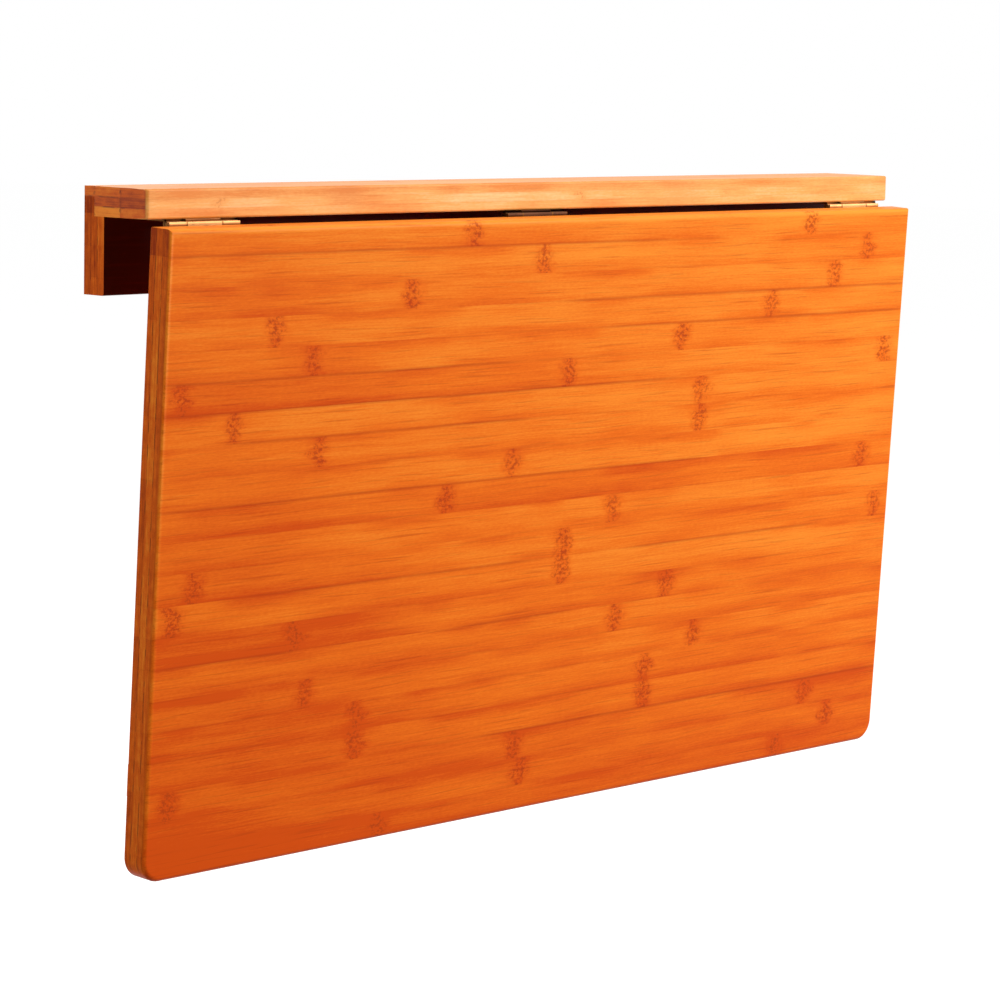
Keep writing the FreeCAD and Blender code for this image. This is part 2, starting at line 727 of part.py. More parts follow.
def make_foot_pad(label, side):
    """A rubber pad on the foot bar's planed edge."""
    body = new_body(label)
    place_at_axis(body, turned=True)

    def spot(along, out):
        across = "pivot_y + %s * cos(bevel) + %s * sin(bevel)" % (along, out)
        up = "-(foot_end) + %s * sin(bevel) - %s * cos(bevel)" % (along, out)
        return across, up

    half = "pad_width / 2"
    corners = [spot("(-%s)" % half, "0"), spot("(-%s)" % half, "pad_thickness"),
               spot("(%s)" % half, "pad_thickness"), spot("(%s)" % half, "0")]
    sketch = outline(body, label + "_section", "YZ_Plane", corners,
                     "%d * pad_place - pad_length / 2" % side)
    pad(body, sketch, "pad_length")


def bolt_parts(side):
    """One pivot bolt with its washer and nut, drawn along X about the hinge axis."""
    outward = Vector(side, 0, 0)

    def disc(radius, start, length):
        spot = Vector(side * start, size("pivot_y"), -size("brace_pivot_drop"))
        return Part.makeCylinder(radius, length, spot, outward)

    outer, tail = size("batten_place + batten_width"), size("nut_place - bolt_tail")
    bolt = disc(size("bolt_radius"), tail, outer - tail)
    bolt = bolt.fuse(disc(size("bolt_head_radius"), outer, size("bolt_head_height")))
    sunk = outer + size("bolt_head_height - drive_depth")
    bolt = bolt.cut(disc(size("drive_radius"), sunk, size("bolt_head_height")))
    bore = disc(size("bolt_radius + bore_clearance"), 0, outer)
    washer = disc(size("washer_radius"), size("washer_place"), size("washer_thickness"))
    nut = hexagon(side).cut(bore)
    return bolt, washer.cut(bore), nut


def hexagon(side):
    """The blank of a nut, a six-sided prism along X."""
    centre = Vector(side * size("nut_place"), size("pivot_y"), -size("brace_pivot_drop"))
    turns = [math.radians(60 * index) for index in range(7)]
    rim = [centre + Vector(0, math.cos(turn), math.sin(turn)) * size("nut_radius")
           for turn in turns]
    return Part.Face(Part.makePolygon(rim)).extrude(Vector(side * size("nut_height"), 0, 0))


def make_bolts():
    left, right = bolt_parts(-1), bolt_parts(1)
    for label, one, other in zip(("pivot_bolts", "pivot_washers", "pivot_nuts"), left, right):
        group(label, hanging([one, other]))


def make_all():
    make_shelf()
    make_rail()
    make_upright("left_upright", -1)
    make_upright("right_upright", 1)
    make_seat_rail()
    make_frame_dowels()
    make_shelf_screws()
    for name, centre in HINGES.items():
        make_shelf_plate(name, centre)
        make_leaf_plate(name, centre)
        make_hinge_pin(name, centre)
    make_hinge_screws()
    make_leaf()
    make_batten("left_batten", -1)
    make_batten("right_batten", 1)
    make_batten_screws()
    make_stile("left_brace_stile", -1)
    make_stile("right_brace_stile", 1)
    make_foot_bar()
    make_crossbar()
    make_brace_dowels()
    make_foot_pad("left_foot_pad", -1)
    make_foot_pad("right_foot_pad", 1)
    make_bolts()


def check_all():
    """Stop before anything is written if an object failed or a shape is empty or wrong."""
    doc.recompute()
    for item in doc.Objects:
        if "Invalid" in item.State or "Error" in item.State:
            raise RuntimeError(item.Label + " failed")
    for item in pieces():
        if item.Shape.isNull() or not item.Shape.isValid():
            raise RuntimeError(item.Label + " has no valid shape")


def pieces():
    kinds = ("PartDesign::Body", "Part::Feature", "Part::Cylinder")
    return [item for item in doc.Objects if item.TypeId in kinds]


def export_all():
    os.makedirs("parts", exist_ok=True)
    for item in pieces():
        item.Shape.exportStep("parts/%s.step" % item.Label)
        print("%-26s %2d solids %12.1f mm3" % (item.Label, len(item.Shape.Solids),
                                               item.Shape.Volume))


make_all()
check_all()
export_all()
print("axis", size("axis_y"), size("axis_z"), "seat", size("seat_y"), size("seat_z"))
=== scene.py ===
import math

import bpy
from mathutils import Matrix, Vector


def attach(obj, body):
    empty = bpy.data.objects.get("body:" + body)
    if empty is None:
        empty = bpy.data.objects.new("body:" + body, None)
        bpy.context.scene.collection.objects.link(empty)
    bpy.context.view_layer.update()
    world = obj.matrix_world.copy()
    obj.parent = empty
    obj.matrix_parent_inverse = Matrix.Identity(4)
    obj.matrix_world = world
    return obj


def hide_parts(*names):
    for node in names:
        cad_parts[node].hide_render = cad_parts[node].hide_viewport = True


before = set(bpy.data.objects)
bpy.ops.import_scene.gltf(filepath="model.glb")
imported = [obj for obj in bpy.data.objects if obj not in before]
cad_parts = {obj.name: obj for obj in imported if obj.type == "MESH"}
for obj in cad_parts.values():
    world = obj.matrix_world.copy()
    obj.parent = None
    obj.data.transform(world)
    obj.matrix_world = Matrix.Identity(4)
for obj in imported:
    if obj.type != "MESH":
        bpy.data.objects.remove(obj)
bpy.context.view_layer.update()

# Looks of a bamboo drop-leaf table that hangs on a wall, drawn folded away.
# X runs along the wall, the room lies at negative Y and Z is up, in metres.

MM = 0.001

# Sizes of the real pieces, in millimetres, as the frame has them.
# The shelf, and the rail below it, whose tongue stands in the shelf's back edge
LENGTH = 800
THICK = 20
SHELF_DEPTH = 62
SHELF_TOP = 46
RAIL_LOW = -26.5
TONGUE = 10
TONGUE_COVER = 7
# The hinges' pin, and the leaf that hangs from it, its top and bottom measured from the pin
AXIS_Y, AXIS_Z = -63, 22.85
HANG = math.radians(2.9)
LEAF_TOP, LEAF_LOW = -1, -441
LEAF_CORNER = 16
# How far the leaf's front edges, the boards' other long edges and the shelf's ends are rounded
FRONT_EASING, BOARD_EASING, END_EASING = 3.5, 1.5, 3
# The hinges' places along the wall, their plates, and the radius of their knuckles and pin
HINGES = {"left": -351.75, "middle": -25, "right": 351.75}
HINGE_LENGTH = 63.5
PLATE = 1.4
PLATE_WIDTH = 20
PLATE_CORNER, PLATE_EASING = 1.6, 0.35
KNUCKLE = 3.15
KNUCKLE_GAP = 0.3
KNUCKLE_TURN = math.radians(296)
PIN, PIN_EASING = 1.7, 0.5
# Screws: along and across a plate, and along the rail. Each hole is given by its radius
PLATE_SCREWS = ((-22.75, 15), (0, 9), (22.75, 15))
PLATE_HOLE = 1.65
WALL_SCREWS = (-330, -110, 110, 330)
WALL_HOLE = 2.5
# The bamboo's strips, from the first, and the depths at which its plies meet
FIRST_STRIP = 18.1
STRIP = 21.2
PLIES = (6.7, 13.3)


def paint(red, green, blue):
    """A colour given as it looks, turned into the light it sends back."""
    def light(value):
        value /= 255
        return value / 12.92 if value <= 0.04045 else ((value + 0.055) / 1.055) ** 2.4
    return (light(red), light(green), light(blue), 1)


# Laying out finishes

class Wire:
    """A value inside a finish. Plain sums on wires lay out the nodes that work them out."""

    def __init__(self, finish, socket):
        self.finish = finish
        self.socket = socket

    def work(self, operation, *values):
        return self.finish.node("Math", dict(enumerate(values)), operation=operation)

    def __add__(self, other):
        return self.work("ADD", self, other)

    __radd__ = __add__

    def __sub__(self, other):
        return self.work("SUBTRACT", self, other)

    def __rsub__(self, other):
        return self.work("SUBTRACT", other, self)

    def __mul__(self, other):
        return self.work("MULTIPLY", self, other)

    __rmul__ = __mul__

    def __truediv__(self, other):
        return self.work("DIVIDE", self, other)

    def __gt__(self, other):
        return self.work("GREATER_THAN", self, other)

    def __lt__(self, other):
        return self.work("LESS_THAN", self, other)

    def __abs__(self):
        return self.work("ABSOLUTE", self)

    def floor(self):
        return self.work("FLOOR", self)

    def rest(self):
        return self.work("FRACT", self)

    def least(self, other):
        return self.work("MINIMUM", self, other)

    def most(self, other):
        return self.work("MAXIMUM", self, other)

    def fade(self, start, end):
        """0 at start and 1 at end, with a soft change between them."""
        inputs = {"Value": self, "From Min": start, "From Max": end}
        return self.finish.node("MapRange", inputs, interpolation_type="SMOOTHSTEP")


class Finish:
    """A material that is built up node by node."""

    def __init__(self, name, **fixed):
        self.material = bpy.data.materials.new(name)
        self.material.use_nodes = True
        self.tree = self.material.node_tree
        self.tree.nodes.clear()
        self.surface = self.tree.nodes.new("ShaderNodeBsdfPrincipled")
        output = self.tree.nodes.new("ShaderNodeOutputMaterial")
        self.tree.links.new(self.surface.outputs[0], output.inputs[0])
        for socket, value in fixed.items():
            self.surface.inputs[socket.replace("_", " ")].default_value = value

    def node(self, kind, inputs, output=0, stops=None, **settings):
        made = self.tree.nodes.new("ShaderNode" + kind)
        for setting, value in settings.items():
            setattr(made, setting, value)
        if stops:
            row = made.color_ramp.elements
            while len(row) < len(stops):
                row.new(1)
            for element, (place, colour) in zip(row, stops):
                element.position = place
                element.color = colour
        for key, value in inputs.items():
            self.feed(made.inputs[key], value)
        return Wire(self, made.outputs[output])

    def feed(self, socket, value):
        if isinstance(value, Wire):
            self.tree.links.new(value.socket, socket)
        else:
            socket.default_value = value

    def set(self, socket, value):
        self.feed(self.surface.inputs[socket], value)

    def blend(self, under, over, share):
        inputs = {0: share, 6: under, 7: over}
        return self.node("Mix", inputs, output=2, data_type="RGBA")

    def spot(self, along, across, through=0):
        return self.node("CombineXYZ", {0: along, 1: across, 2: through})

    def noise(self, spot, detail=2, roughness=0.5):
        inputs = {"Vector": spot, "Scale": 1, "Detail": detail, "Roughness": roughness}
        return self.node("TexNoise", inputs)

    def chance(self, spot):
        """One random value for each whole-numbered spot."""
        return self.node("TexWhiteNoise", {"Vector": spot}, noise_dimensions="3D")

    def raised(self, height, strength, distance):
        inputs = {"Height": height, "Strength": strength, "Distance": distance}
        self.set("Normal", self.node("Bump", inputs))


# Bamboo: the cane's joints come at this distance and reach this far along a strip, in mm
CANE_LENGTH = 370
KNOT_REACH = 10
KNOT_BROWN = paint(150, 50, 10)
GLUE_BROWN = paint(146, 36, 2)
# Sawn ends, from deep to pale, and the lines between their strips
END_DEEP = paint(140, 46, 4)
END_MIDDLE = paint(204, 88, 14)
END_PALE = paint(236, 136, 38)
END_LINE = paint(90, 26, 4)

# The cane's joints in the leaf's front, each as its place along the leaf in mm and its strip
LEAF_KNOTS = [
    (-112, 0), (272, 0), (-37, 1), (348, 1), (-171, 2), (306, 2), (-302, 3), (-265, 4),
    (123, 4), (229, 3), (-384, 5), (-3, 5), (378, 5), (-335, 6), (150, 6), (150, 7),
    (-255, 7), (-59, 8), (-127, 9), (358, 9), (56, 10), (-366, 11), (380, 11), (2, 11),
    (2, 12), (-384, 12), (-270, 13), (123, 13), (66, 14), (-258, 15), (159, 15), (-206, 16),
    (104, 16), (-206, 17), (104, 17), (-380, 18), (-39, 18), (-31, 19), (305, 18),
    (336, 19), (-179, 20), (272, 20)]
# Strips of the leaf that stand out: strip, from and to along the leaf, and lighter or deeper
LEAF_STRIPS = [
    (1, -400, 300, 0.1), (2, -400, -60, -0.08), (5, -400, 0, -0.16), (6, -400, 400, 0.1),
    (8, -400, 400, 0.08), (9, -400, 400, -0.12), (10, -300, 400, 0.06), (13, -400, -180, -0.1),
    (18, -60, 400, -0.08), (20, -400, 400, -0.04)]
# The cane's joints in the shelf's front edge
SHELF_KNOTS = [(-334, 0), (24, 0), (192, 0)]
# The dark glue lines that show in the leaf's face: the strip below each and where it runs
LEAF_LINES = [
    (12, -315, -30), (12, 80, 300), (3, 0, 400), (4, 35, 400), (14, -400, -275), (14, -100, 10),
    (6, -400, 120), (5, -400, -60), (1, -400, 100), (9, -400, 150), (7, -335, -50),
    (18, -80, 400)]


class Board:
    """How a board is laid up: its corner, its fibres, and its strips and plies, in mm.

    The order and the signs turn X, Y and Z into along, across and through. The placed joints
    lie in the knot ply. The end tones give the shade of each ply in the sawn ends.
    """

    def __init__(self, order, corner, signs, hung=False, first=FIRST_STRIP, width=STRIP,
                 knot_ply=0, end_tones=(0.3, 0.4, 0.5), end_seams=0.1):
        self.order = order
        self.signs = signs
        self.first = first
        self.width = width
        self.knot_ply = knot_ply
        self.end_tones = end_tones
        self.end_seams = end_seams
        self.tilt = HANG if hung else 0
        origin = Vector((0, AXIS_Y, AXIS_Z)) if hung else Vector()
        origin.rotate(Matrix.Rotation(-self.tilt, 3, "X"))
        self.place = -(origin + Vector(corner))

    def fibre_axis(self):
        axis = Vector()
        axis[self.order[0]] = 1
        axis.rotate(Matrix.Rotation(self.tilt, 3, "X"))
        return axis


class Grain:
    """Places in a board: along its fibres, across its strips and through its plies, in mm."""

    def __init__(self, finish, board):
        place = finish.node("TexCoord", {}, output="Object")
        laid = finish.node("Mapping", {"Vector": place, "Rotation": (-board.tilt, 0, 0),
                                       "Scale": (1 / MM,) * 3, "Location": board.place})
        parts = [finish.node("SeparateXYZ", {0: laid}, output=axis) for axis in board.order]
        self.along, self.across, self.through = [p * s for p, s in zip(parts, board.signs)]
        count = (self.across - board.first) / board.width + 1
        self.count = count
        self.strip, self.inside = count.floor(), count.rest()
        self.ply = (self.through > PLIES[0]) + (self.through > PLIES[1])
        strip_edge = self.inside.least(1 - self.inside) * board.width
        ply_edge = abs(self.through - PLIES[0]).least(abs(self.through - PLIES[1]))
        self.strip_seam = 1 - strip_edge.fade(0.1, 1.8)
        self.ply_seam = 1 - ply_edge.fade(0.15, 0.9)


def along_stretch(grain, start, end, soft):
    """1 between two places along a board and 0 beyond them."""
    return (grain.along.fade(start - soft, start + soft)
            * (1 - grain.along.fade(end - soft, end + soft)))


def glue_lines(finish, grain, lines):
    """Dark lines where strips and plies meet, stronger in some stretches."""
    soft = finish.noise(finish.spot(grain.along / 90, grain.strip * 3.1), 1).fade(0.5, 0.72)
    strength = 0.02 + 0.17 * soft
    for below, start, end in lines:
        here = (abs(grain.count - below) < 0.12) * along_stretch(grain, start, end, 20)
        strength = strength + here * (grain.through < 1) * 0.32
    return (grain.strip_seam * strength).most(grain.ply_seam * 0.16)


def cane_joints(finish, board, grain, knots, other):
    """Where the cane had its joints: bands across single strips, and the flecks in them."""
    along, across, through = grain.along, grain.across, grain.through
    wander = finish.noise(finish.spot(along / 20, across / 8, through / 8), 1) - 0.5
    spaced = (along / CANE_LENGTH + other + 0.04 * wander).rest()
    reach = abs(spaced - 0.5) * (CANE_LENGTH / KNOT_REACH) * (0.8 + 0.6 * other)
    if knots:
        here = finish.spot((along + 18 * wander) / KNOT_REACH, grain.strip * 5, grain.ply * 5)
        close = None
        for spot, row in knots:
            inputs = {0: here, 1: (spot / KNOT_REACH, row * 5, board.knot_ply * 5)}
            far = finish.node("VectorMath", inputs, output="Value", operation="DISTANCE")
            close = far if close is None else close.least(far)
        # the ply with placed joints has no others, and nor has the edge that shows beside it
        own_ply = abs(grain.ply - board.knot_ply) < 0.5
        known = own_ply.most(across < board.first * board.knot_ply)
        reach = close.least(reach + 9 * known)
    body = 1 - (reach + abs(grain.inside - 0.5)).fade(0.2, 1.7)
    flecks = finish.noise(finish.spot(along / 3.3, across / 2.6, through / 2.6), 2, 0.6)
    return body, flecks


def bamboo(name, board, colours, seed, knots=(), lines=(), tone_shift_and_painted_light=None, share=1.0, shine=0.07):
    """Bamboo laminated from strips, with fibres, strip edges and the cane's joints.

    The share weakens the joints and lines, and the tone shift changes the tone over the board;
    for the leaf and the rail it holds painted light and shade.
    """
    finish = Finish(name, Specular_IOR_Level=shine)
    grain = Grain(finish, board)
    along, across, through = grain.along, grain.across, grain.through
    strip, ply = grain.strip, grain.ply
    # one shade for each strip, soft clouds along it, and fibres from broad to fine
    own = finish.chance(finish.spot(strip, ply, seed))
    other = finish.chance(finish.spot(strip, ply, seed + 11))

    drift = 4 * (finish.noise(finish.spot(along / 120, strip * 3.7, ply + seed), 1) - 0.5)
    drifted = across + drift
    slow = finish.noise(finish.spot(along / 170, strip * 7.7 + seed, ply * 5.3), 2)
    band = finish.noise(finish.spot(along / 220 + seed, drifted / 6, through / 6), 3)
    streak = finish.noise(finish.spot(along / 45, drifted / 1.2, through / 1.2), 4, 0.65)
    fibre = finish.noise(finish.spot(along / 14, drifted / 0.5, through / 0.5), 3, 0.7)
    patchy = finish.noise(finish.spot(along / 130, strip * 2.3 + seed, ply), 2).fade(0.42, 0.68)
    one_hem, other_hem = 1 - grain.inside.fade(0, 0.5), grain.inside.fade(0.5, 1)
    hem = (one_hem * patchy).most(other_hem * (1 - patchy) * 0.6)
    vein = finish.noise(finish.spot(along / 70 + seed, drifted / 1.7, through / 1.7), 3)
    dash = finish.noise(finish.spot(along / 4, drifted / 0.9, through / 0.9), 2)
    tone = (0.5 + 0.14 * (own - 0.5) + 0.46 * (slow - 0.5) + 0.34 * (band - 0.5)
            + 0.5 * (streak - 0.5) + 0.3 * (fibre - 0.5) + 0.3 * (dash - 0.5) - 0.3 * hem)
    # the tone shift adds painted light and shade for the leaf and the rail
    if tone_shift_and_painted_light:
        tone = tone + tone_shift_and_painted_light(grain)

    body, flecks = cane_joints(finish, board, grain, knots, other)
    body = body * share * (0.8 + 0.2 * slow.fade(0.35, 0.6))
    tone = tone - 0.26 * body + body * (0.5 - flecks) * 0.8
    fleck = (flecks + 0.06 * body).fade(0.5, 0.68) * body.fade(0.1, 0.9)
    joint = glue_lines(finish, grain, lines) * share
    deep, middle, pale = colours
    wood = finish.node("ValToRGB", {0: tone},
                       stops=[(0.15, deep), (0.5, middle), (0.85, pale)])
    wood = finish.blend(wood, KNOT_BROWN, fleck * 0.52)
    wood = finish.blend(wood, GLUE_BROWN, joint.most(vein.fade(0.54, 0.74) * 0.3 * share))

    # sawn ends are browner, ply by ply, with the fibres as lines and dots
    normal = finish.node("TexCoord", {}, output="Normal")
    inputs = {0: normal, 1: board.fibre_axis()}
    facing = finish.node("VectorMath", inputs, output="Value", operation="DOT_PRODUCT")
    end = abs(facing).fade(0.7, 0.95)
    dots = finish.noise(finish.spot(along / 40, across / 0.8, through / 0.6), 1).fade(0.5, 0.7)
    down = finish.noise(finish.spot(seed, across / 45, through / 1.1), 2)
    stains = finish.noise(finish.spot(seed + 5, across / 9, through / 4), 2)
    first, second, third = board.end_tones
    shade = (first + (through > PLIES[0]) * (second - first)
             + (through > PLIES[1]) * (third - second) + 0.16 * (own - 0.5)
             + 0.6 * (down - 0.5) + 0.5 * (stains - 0.5) - 0.1 * dots - 0.2 * (grain.count < 1))
    sawn = finish.node("ValToRGB", {0: shade},
                       stops=[(0.1, END_DEEP), (0.5, END_MIDDLE), (0.9, END_PALE)])
    seam = ((grain.strip_seam * board.end_seams).most(grain.ply_seam * 0.7)
            * (0.1 + 0.9 * stains.fade(0.42, 0.62)))
    sawn = finish.blend(sawn, END_LINE, seam)
    finish.set("Base Color", finish.blend(wood, sawn, end))
    finish.set("Roughness", 0.36 + 0.12 * streak + 0.14 * end + 0.06 * fleck)
    finish.raised(fibre + streak - 1.2 * joint - 0.4 * fleck, 0.12, 0.0002)
    return finish.material


def leaf_tone_and_painted_light(grain):
    """Painted light and shade, with some strips' own tone: the leaf is painted darker and redder
    towards its left and its bottom and lighter at its top right, with painted highlights along
    its top edge and its eased ends; the listed strips are lighter or deeper of their own.
    """
    left = 1 - (grain.along / LENGTH + 0.5).fade(0.0, 0.5)
    right = (grain.along / LENGTH + 0.5).fade(0.4, 1)
    down = (grain.across / (LEAF_TOP - LEAF_LOW)).fade(0.2, 1.1)
    # painted shade: darker and redder to the left and the bottom; painted light at the top right
    tone = 0.12 - 0.08 * left - 0.24 * down - 0.16 * left * down + 0.08 * right * (1 - down)
    for row, start, end, change in LEAF_STRIPS:
        here = (abs(grain.strip - row) < 0.5) * along_stretch(grain, start, end, 60)
        tone = tone + change * here
    # painted highlights along the top edge and near the ends, where the eased edges catch the
    # light
    ends = LENGTH / 2 - abs(grain.along)
    return tone + (0.3 * (1 - grain.across.fade(1, 6))).most(0.2 * (1 - ends.fade(1.5, 4.5)))


def shelf_slope(grain):
    """The shelf is deeper in colour towards its top and its left end."""
    return (0.1 - 0.26 * (1 - grain.through.fade(3.5, 9))
            - 0.1 * (1 - grain.along.fade(-400, -150)))


def rail_painted_shade(grain):
    """Painted shade: the rail's front, which shows below the shelf, is painted dark for the
    shadow it lies in.
    """
    return 0.24 - 0.72 * (1 - grain.through.fade(0.4, 1.6))


# Painted shade for the gaps between a hinge's knuckles and for its ends
HINGE_GAP_SHADE = paint(92, 58, 24)


def metal(name, colour, dull, hinge_middle=None):
    """Rolled metal with faint rub marks, and with painted shade in the gaps between a hinge's
    knuckles and at its ends.
    """
    finish = Finish(name, Metallic=1.0, Roughness=dull)
    place = finish.node("TexCoord", {}, output="Object")
    laid = finish.node("Mapping", {"Vector": place, "Scale": (60, 900, 900)})
    rubbed = finish.noise(laid, 3)
    clouds = finish.noise(finish.node("Mapping", {"Vector": place, "Scale": (90,) * 3}), 2)
    darker = tuple(0.7 * part for part in colour[:3]) + (1,)
    shade = finish.blend(darker, colour, clouds.fade(0.3, 0.6))
    # painted shade in the gaps between the knuckles and at the hinge's ends
    if hinge_middle is not None:
        along = abs(finish.node("SeparateXYZ", {0: place}) / MM - hinge_middle)
        end = HINGE_LENGTH / 2
        between = 1 - abs(along - end / 2).fade(0.3, 1.0)
        gap_shade = between.most(along.fade(end - 0.55, end - 0.05))
        shade = finish.blend(shade, HINGE_GAP_SHADE, gap_shade * 0.8)
    finish.set("Base Color", shade)
    finish.set("Roughness", dull + 0.12 * (rubbed - 0.5) + 0.16 * (clouds - 0.5))
    finish.raised(rubbed, 0.05, 0.0001)
    return finish.material


def rubber(name):
    """Moulded rubber with a fine pebbled skin."""
    finish = Finish(name, Roughness=0.75, Specular_IOR_Level=0.35)
    place = finish.node("TexCoord", {}, output="Object")
    pebbles = finish.noise(finish.node("Mapping", {"Vector": place, "Scale": (1600,) * 3}), 2)
    finish.set("Base Color", finish.blend(paint(24, 24, 26), paint(46, 45, 44), pebbles))
    finish.set("Roughness", 0.68 + 0.18 * pebbles)
    finish.raised(pebbles, 0.3, 0.0002)
    return finish.material


# Modelling by hand: blocks are cut, pulled out and rounded, in mm.
# A corner may lie this far off the place where it is looked for
SLACK = 0.01
# Faces that meet at less than this are shaded as one
SMOOTH_ANGLE = math.radians(35)


def pick(piece, kind, test):
    """Start editing with only the edges or faces selected whose corners all pass a test."""
    bpy.ops.object.mode_set(mode="EDIT")
    bpy.ops.mesh.select_mode(type=kind)
    bpy.ops.mesh.select_all(action="DESELECT")
    bpy.ops.object.mode_set(mode="OBJECT")
    mesh = piece.data
    for part in mesh.edges if kind == "EDGE" else mesh.polygons:
        part.select = all(test(mesh.vertices[corner].co / MM) for corner in part.vertices)
    bpy.ops.object.mode_set(mode="EDIT")


def near(one, other):
    return abs(one - other) < SLACK


def settle(piece, name):
    """Name a new block or rod, and keep its place and size in its mesh."""
    piece.name = piece.data.name = name
    bpy.ops.object.transform_apply(location=True, rotation=True, scale=True)
    return piece


def block(name, low, high):
    """A squared block between two corners."""
    bpy.ops.object.select_all(action="DESELECT")
    middle = [(one + other) / 2 * MM for one, other in zip(low, high)]
    size = [(other - one) * MM for one, other in zip(low, high)]
    bpy.ops.mesh.primitive_cube_add(size=1, location=middle, scale=size)
    return settle(bpy.context.object, name)


def rod(name, middle, radius, length, turn, top=None, vertices=40):
    """A rod, or a cone if its top has another radius, drawn along Z and then turned."""
    bpy.ops.object.select_all(action="DESELECT")
    bpy.ops.mesh.primitive_cone_add(vertices=vertices, radius1=radius * MM,
                                    radius2=(radius if top is None else top) * MM,
                                    depth=length * MM, rotation=turn,
                                    location=[part * MM for part in middle])
    return settle(bpy.context.object, name)


def round_off(piece, radius, steps, test):
    """Round the edges that pass a test."""
    pick(piece, "EDGE", test)
    bpy.ops.mesh.bevel(offset=radius * MM, segments=steps, profile=0.5, affect="EDGES")
    bpy.ops.object.mode_set(mode="OBJECT")


def slice_at(piece, axis, place):
    """Cut all of a piece's faces across at one place."""
    point, across = Vector(), Vector()
    point[axis], across[axis] = place * MM, 1
    pick(piece, "FACE", lambda spot: True)
    bpy.ops.mesh.bisect(plane_co=point, plane_no=across)
    bpy.ops.object.mode_set(mode="OBJECT")


def pull_out(piece, shift, test):
    """Pull the faces that pass a test out of the piece."""
    pick(piece, "FACE", test)
    move = {"value": [part * MM for part in shift]}
    bpy.ops.mesh.extrude_region_move(TRANSFORM_OT_translate=move)
    bpy.ops.object.mode_set(mode="OBJECT")


def use_modifier(piece, kind, **settings):
    """Add a modifier to a piece and apply it."""
    bpy.ops.object.select_all(action="DESELECT")
    piece.select_set(True)
    bpy.context.view_layer.objects.active = piece
    modifier = piece.modifiers.new("step", kind)
    for setting, value in settings.items():
        setattr(modifier, setting, value)
    bpy.ops.object.modifier_apply(modifier=modifier.name)


def drill(piece, cutters):
    """Cut holes with the given rods and cones, which are used up."""
    for cutter in cutters:
        use_modifier(piece, "BOOLEAN", operation="DIFFERENCE", object=cutter, solver="EXACT")
        bpy.data.objects.remove(cutter)


def place_piece(piece, matrix):
    """Move a piece, place and all, into its mesh."""
    bpy.ops.object.select_all(action="DESELECT")
    piece.select_set(True)
    bpy.context.view_layer.objects.active = piece
    piece.matrix_world = matrix
    bpy.ops.object.transform_apply(location=True, rotation=True, scale=True)


def at_pin(along=0):
    return Matrix.Translation((along * MM, AXIS_Y * MM, AXIS_Z * MM))


def hang(piece, along=0):
    """Move a piece drawn about the hinge's pin to where it hangs with the leaf."""
    place_piece(piece, at_pin(along) @ Matrix.Rotation(HANG, 4, "X"))


def complete(piece, body, slot, material, *nodes):
    """Shade a finished piece, give it its finish and let it stand for its CAD nodes."""
    bpy.ops.object.select_all(action="DESELECT")
    piece.select_set(True)
    bpy.context.view_layer.objects.active = piece
    bpy.ops.object.shade_smooth_by_angle(angle=SMOOTH_ANGLE)
    use_modifier(piece, "WEIGHTED_NORMAL", keep_sharp=True)
    piece.data.materials.clear()
    piece.data.materials.append(material)
    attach(piece, body)
    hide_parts(*nodes)


def make_leaf(material):
    """The hanging board, with round lower corners and soft front edges."""
    front, back = -KNUCKLE - THICK, -KNUCKLE
    end = LENGTH / 2
    leaf = block("hanging_leaf", (-end, front, LEAF_LOW), (end, back, LEAF_TOP))
    for side in (-end, end):
        round_off(leaf, LEAF_CORNER, 14,
                  lambda spot: near(spot.x, side) and near(spot.z, LEAF_LOW))
    round_off(leaf, FRONT_EASING, 7, lambda spot: near(spot.y, front))
    round_off(leaf, BOARD_EASING, 4, lambda spot: near(spot.y, back))
    hang(leaf)
    complete(leaf, "leaf", "bamboo", material, "table_leaf")


def make_shelf(material):
    """The fixed board, rebated over the rail's tongue."""
    low, end, step = SHELF_TOP - THICK, LENGTH / 2, SHELF_TOP - TONGUE_COVER
    shelf = block("fixed_shelf", (-end, -SHELF_DEPTH, low), (end, -TONGUE, SHELF_TOP))
    slice_at(shelf, 2, step)
    pull_out(shelf, (0, TONGUE, 0), lambda spot: near(spot.y, -TONGUE) and spot.z > step - SLACK)
    for side in (-end, end):
        round_off(shelf, END_EASING, 7,
                  lambda spot: near(spot.x, side) and near(spot.y, -SHELF_DEPTH))

    def front_edge(spot):
        return (spot.y < -SHELF_DEPTH + END_EASING + SLACK
                and (near(spot.z, SHELF_TOP) or near(spot.z, low)))

    round_off(shelf, BOARD_EASING, 5, front_edge)
    complete(shelf, "wall_part", "bamboo", material, "shelf_board")


def make_rail(material):
    """The board on the wall, with its tongue and four wall-screw holes."""
    top, end, step = SHELF_TOP - THICK, LENGTH / 2, SHELF_TOP - TONGUE_COVER
    rail = block("wall_board", (-end, -THICK, RAIL_LOW), (end, 0, top))
    slice_at(rail, 1, -TONGUE)
    pull_out(rail, (0, 0, step - top),
             lambda spot: near(spot.z, top) and spot.y > -TONGUE - SLACK)
    round_off(rail, BOARD_EASING, 5,
              lambda spot: near(spot.z, RAIL_LOW) and near(spot.y, -THICK))
    turn = (math.radians(90), 0, 0)
    cutters = []
    for along in WALL_SCREWS:
        # the sink is a cone whose wide end stands clear of the rail's front
        cutters.append(rod("bore", (along, -THICK / 2, 0), WALL_HOLE, 30, turn))
        cutters.append(rod("sink", (along, -THICK + 1, 0), 1.5, 7, turn, top=8.5))
    drill(rail, cutters)
    complete(rail, "wall_part", "bamboo", material, "wall_rail")


